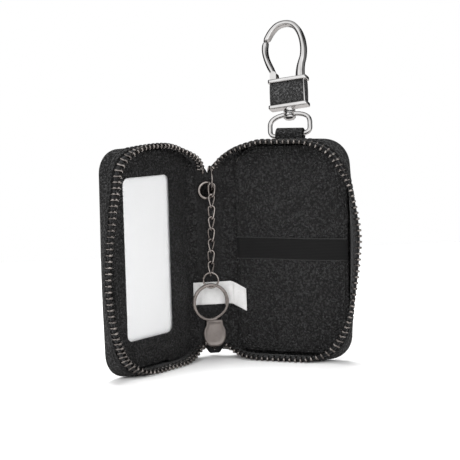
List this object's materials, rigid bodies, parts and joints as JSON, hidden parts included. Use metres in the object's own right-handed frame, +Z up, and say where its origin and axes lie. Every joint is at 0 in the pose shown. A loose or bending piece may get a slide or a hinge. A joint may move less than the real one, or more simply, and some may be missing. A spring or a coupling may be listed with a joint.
{
  "type": "zip-around key case",
  "caption": "Leather key case that opens like a book, with zip edges, a windowed half, an elastic band, a chained key ring and a snap hook on a strap.",
  "frame": {"origin": "centre of the bounding box's base, on the surface that the open case stands on", "axes": "+Z up along both fold lines; +Y towards the outer face of the spine; +X towards the half with the elastic band and the hook"},
  "size_m": [0.128, 0.0679, 0.1718],
  "materials": {
    "black_leather": "pebbled, soft sheen",
    "black_lining": "matt",
    "grey_board": "fibre board",
    "black_zip_tape": "woven",
    "black_elastic": "woven elastic",
    "gunmetal": "plated gunmetal",
    "polished_chrome": "polished",
    "white_card": "matt card",
    "clear_film": "clear",
    "white_satin": "satin ribbon"
  },
  "bodies": {
    "spine": {"spine_cover": "black_leather", "spine_board": "grey_board", "spine_lining": "black_lining", "eyelet": "gunmetal", "eyelet_washer": "gunmetal", "label": "white_satin", "upper_zip_stop": "gunmetal", "slot_tape_left": "black_zip_tape", "slot_tape_right": "black_zip_tape"},
    "left_half": {"left_cover": "black_leather", "left_board": "grey_board", "id_card_insert": "white_card", "id_window_film": "clear_film", "left_window_panel": "black_leather", "left_zip_tape": "black_zip_tape", "left_zip_teeth": "gunmetal"},
    "right_half": {"right_cover": "black_leather", "right_board": "grey_board", "right_inner_panel": "black_leather", "elastic_band": "black_elastic", "label_tail": "white_satin", "right_zip_tape": "black_zip_tape", "right_zip_teeth": "gunmetal", "hanging_strap": "black_leather"},
    "slider": {"slider_body": "gunmetal", "slider_bridge": "gunmetal"},
    "pull_tab": {"pull_tab": "gunmetal"},
    "jump_ring": {"jump_ring": "gunmetal"},
    "chain_link_1": {"chain_link_1": "gunmetal"},
    "chain_link_2": {"chain_link_2": "gunmetal"},
    "chain_link_3": {"chain_link_3": "gunmetal"},
    "chain_link_4": {"chain_link_4": "gunmetal"},
    "chain_link_5": {"chain_link_5": "gunmetal"},
    "chain_link_6": {"chain_link_6": "gunmetal"},
    "chain_link_7": {"chain_link_7": "gunmetal"},
    "chain_link_8": {"chain_link_8": "gunmetal"},
    "small_ring": {"small_ring": "gunmetal"},
    "key_ring": {"key_ring": "gunmetal"},
    "swivel_ring": {"swivel_ring": "polished_chrome"},
    "hook": {"swivel_rivet": "polished_chrome", "hook_frame": "polished_chrome", "hook_leather_sleeve": "black_leather", "gate_pin": "polished_chrome", "gate_spring": "gunmetal"},
    "gate": {"gate": "polished_chrome"}
  },
  "joints": [
    {"name": "left_fold", "type": "hinge", "parent": "spine", "child": "left_half", "pos_m": [-0.0171, 0.02107, 0], "axis": [0, 0, -1], "range_deg": [-47.5, 42.5]},
    {"name": "right_fold", "type": "hinge", "parent": "spine", "child": "right_half", "pos_m": [0.0079, 0.02107, 0], "axis": [0, 0, 1], "range_deg": [-59.3, 30.7]},
    {"name": "slider_slide", "type": "slide", "parent": "spine", "child": "slider", "axis": [0, 0, 1], "range_m": [0, 0.002]},
    {"name": "pull_tab_swing", "type": "hinge", "parent": "slider", "child": "pull_tab", "pos_m": [-0.0034, 0.02457, 0.0134], "axis": [1, 0, 0], "range_deg": [0, 110]},
    {"name": "jump_ring_swing", "type": "hinge", "parent": "spine", "child": "jump_ring", "pos_m": [-0.0035, 0.01917, 0.0921], "axis": [-1, 0, 0], "range_deg": [0, 35]},
    {"name": "chain_link_1_swing", "type": "hinge", "parent": "jump_ring", "child": "chain_link_1", "pos_m": [-0.0035, 0.01477, 0.09018], "axis": [-0.9058, 0.4226, 0.0316], "range_deg": [0, 25]},
    {"name": "chain_link_2_swing", "type": "hinge", "parent": "chain_link_1", "child": "chain_link_2", "pos_m": [-0.0037, 0.01477, 0.08449], "axis": [-0.7656, -0.6428, 0.0267], "range_deg": [0, 25]},
    {"name": "chain_link_3_swing", "type": "hinge", "parent": "chain_link_2", "child": "chain_link_3", "pos_m": [-0.0039, 0.01477, 0.07879], "axis": [-0.7656, 0.6428, 0.0267], "range_deg": [0, 25]},
    {"name": "chain_link_4_swing", "type": "hinge", "parent": "chain_link_3", "child": "chain_link_4", "pos_m": [-0.0041, 0.01477, 0.07309], "axis": [-0.7656, -0.6428, 0.0267], "range_deg": [0, 25]},
    {"name": "chain_link_5_swing", "type": "hinge", "parent": "chain_link_4", "child": "chain_link_5", "pos_m": [-0.0043, 0.01477, 0.0674], "axis": [-0.7656, 0.6428, 0.0267], "range_deg": [0, 25]},
    {"name": "chain_link_6_swing", "type": "hinge", "parent": "chain_link_5", "child": "chain_link_6", "pos_m": [-0.0045, 0.01477, 0.0617], "axis": [-0.7656, -0.6428, 0.0267], "range_deg": [0, 25]},
    {"name": "chain_link_7_swing", "type": "hinge", "parent": "chain_link_6", "child": "chain_link_7", "pos_m": [-0.0047, 0.01477, 0.056], "axis": [-0.7656, 0.6428, 0.0267], "range_deg": [0, 25]},
    {"name": "chain_link_8_swing", "type": "hinge", "parent": "chain_link_7", "child": "chain_link_8", "pos_m": [-0.00489, 0.01477, 0.05031], "axis": [-0.7656, -0.6428, 0.0267], "range_deg": [0, 25]},
    {"name": "small_ring_swing", "type": "hinge", "parent": "chain_link_8", "child": "small_ring", "pos_m": [-0.00509, 0.01477, 0.04463], "axis": [-0.8655, 0.5, 0.0302], "range_deg": [0, 25]},
    {"name": "key_ring_swing", "type": "hinge", "parent": "small_ring", "child": "key_ring", "pos_m": [-0.00528, 0.01477, 0.03919], "axis": [-0.9842, -0.1736, 0.0344], "range_deg": [0, 60]},
    {"name": "swivel_ring_swing", "type": "hinge", "parent": "right_half", "child": "swivel_ring", "pos_m": [0.03652, 0.00954, 0.1132], "axis": [0.8543, -0.5073, 0.1132], "range_deg": [-125, 60]},
    {"name": "hook_swivel", "type": "hinge", "parent": "swivel_ring", "child": "hook", "pos_m": [0.03652, 0.00954, 0.1132], "axis": [0.0607, 0.3137, 0.9476], "continuous": true},
    {"name": "gate_swing", "type": "hinge", "parent": "hook", "child": "gate", "pos_m": [0.03213, 0.02376, 0.14339], "axis": [0.531, 0.7937, -0.2968], "range_deg": [0, 28], "stiffness_Nm_per_rad": 0.02, "springref_deg": -17.19}
  ]
}
